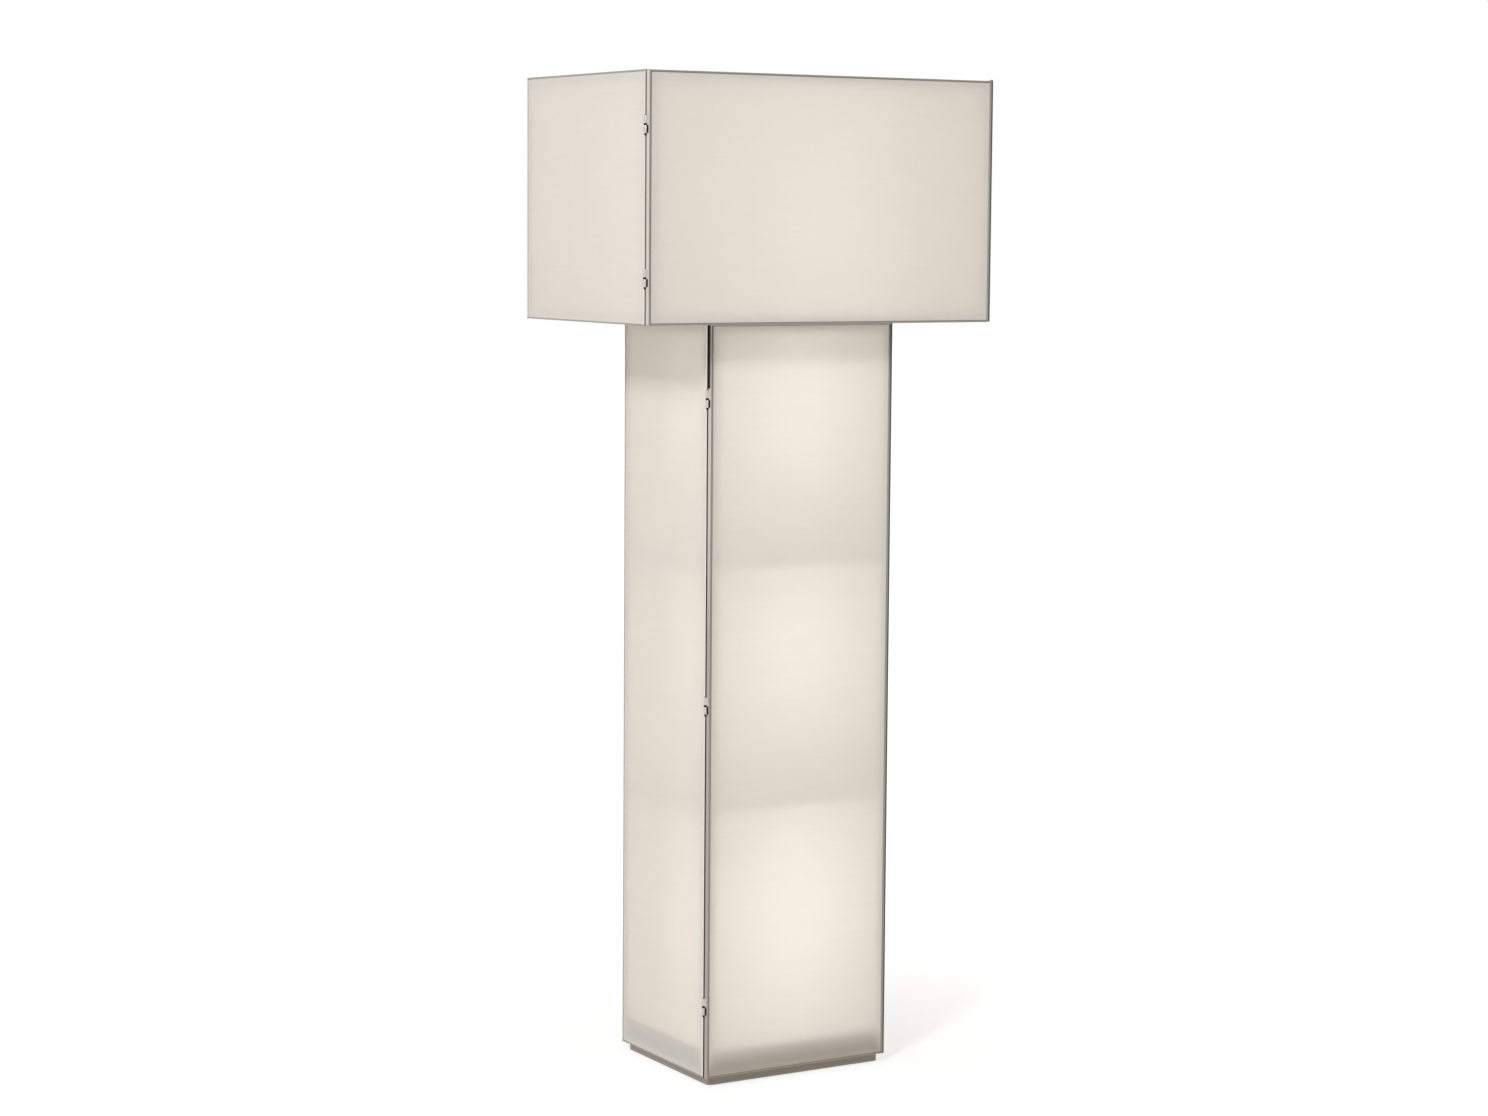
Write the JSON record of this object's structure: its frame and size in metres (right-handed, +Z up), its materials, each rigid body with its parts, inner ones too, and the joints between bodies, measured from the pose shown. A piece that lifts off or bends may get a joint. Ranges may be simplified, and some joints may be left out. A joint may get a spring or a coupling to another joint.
{
  "type": "column_floor_lamp",
  "caption": "Floor lamp with a tall opal glass column and a wider opal glass head, both with a hinged front door in slim metal frames",
  "frame": {"origin": "on the floor, under the middle of the head", "axes": "+Z up, +X to the right of someone facing the doors, +Y to the back"},
  "size_m": [0.6934, 0.444, 1.7515],
  "materials": {
    "satin_opal_glass": "satin opal laminated glass",
    "frosted_glass": "clear float glass with a frosted face",
    "satin_nickel_frame": "satin champagne-grey anodised",
    "plinth_paint": "warm grey powder coat",
    "black_rubber": "matt",
    "satin_steel": "satin",
    "dark_nylon": "matt",
    "opal_diffuser": "opal",
    "strip_board": "satin",
    "raw_aluminium": "mill finish",
    "black_plastic": "fine texture",
    "ballast_iron": "primed",
    "magnet": "matt",
    "white_lacquer": "satin lacquer"
  },
  "bodies": {
    "cabinet": {"ballast_plate": "ballast_iron", "base_cover": "white_lacquer", "base_tray": "plinth_paint", "cable_gland": "black_plastic", "column_back_frame": "satin_nickel_frame", "column_back_panel": "satin_opal_glass", "column_door_catches": "magnet", "column_door_seal": "black_rubber", "column_hinge_knuckles": "satin_steel", "column_hinge_pins": "satin_steel", "column_hinge_washers": "dark_nylon", "column_left_frame": "satin_nickel_frame", "column_left_panel": "satin_opal_glass", "column_light_channel": "raw_aluminium", "column_light_diffuser": "opal_diffuser", "column_light_strip": "strip_board", "column_posts": "white_lacquer", "column_rails": "white_lacquer", "column_right_frame": "satin_nickel_frame", "column_right_panel": "satin_opal_glass", "column_top_plate": "white_lacquer", "glides": "black_rubber", "head_back_frame": "satin_nickel_frame", "head_back_panel": "satin_opal_glass", "head_bolts": "satin_steel", "head_door_catches": "magnet", "head_door_seal": "black_rubber", "head_floor": "white_lacquer", "head_hinge_knuckles": "satin_steel", "head_hinge_pins": "satin_steel", "head_hinge_washers": "dark_nylon", "head_left_frame": "satin_nickel_frame", "head_left_panel": "satin_opal_glass", "head_light_channel": "raw_aluminium", "head_light_diffuser": "opal_diffuser", "head_light_strip": "strip_board", "head_posts": "white_lacquer", "head_rails": "white_lacquer", "head_right_frame": "satin_nickel_frame", "head_right_panel": "satin_opal_glass", "head_top_panel": "satin_opal_glass", "led_driver": "black_plastic", "plinth": "plinth_paint", "service_plate": "plinth_paint", "shelf_1": "frosted_glass", "shelf_2": "frosted_glass", "shelf_brackets": "white_lacquer", "switch_housing": "black_plastic"},
    "column_door": {"column_door_frame": "satin_nickel_frame", "column_door_panel": "satin_opal_glass", "column_door_knuckles": "satin_steel"},
    "head_door": {"head_door_frame": "satin_nickel_frame", "head_door_panel": "satin_opal_glass", "head_door_knuckles": "satin_steel", "head_door_tab": "satin_nickel_frame"},
    "rocker": {"switch_rocker": "black_plastic"}
  },
  "joints": [
    {"name": "column_door_hinge", "type": "hinge", "parent": "cabinet", "child": "column_door", "pos_m": [-0.185, -0.1443, 0.6715], "axis": [0, 0, -1], "range_deg": [0, 150]},
    {"name": "head_door_hinge", "type": "hinge", "parent": "cabinet", "child": "head_door", "pos_m": [-0.345, -0.2123, 1.5335], "axis": [0, 0, -1], "range_deg": [0, 150]},
    {"name": "rocker_pivot", "type": "hinge", "parent": "cabinet", "child": "rocker", "pos_m": [-0.13, 0.153, 0.03925], "axis": [1, 0, 0], "range_deg": [0, 12]}
  ]
}
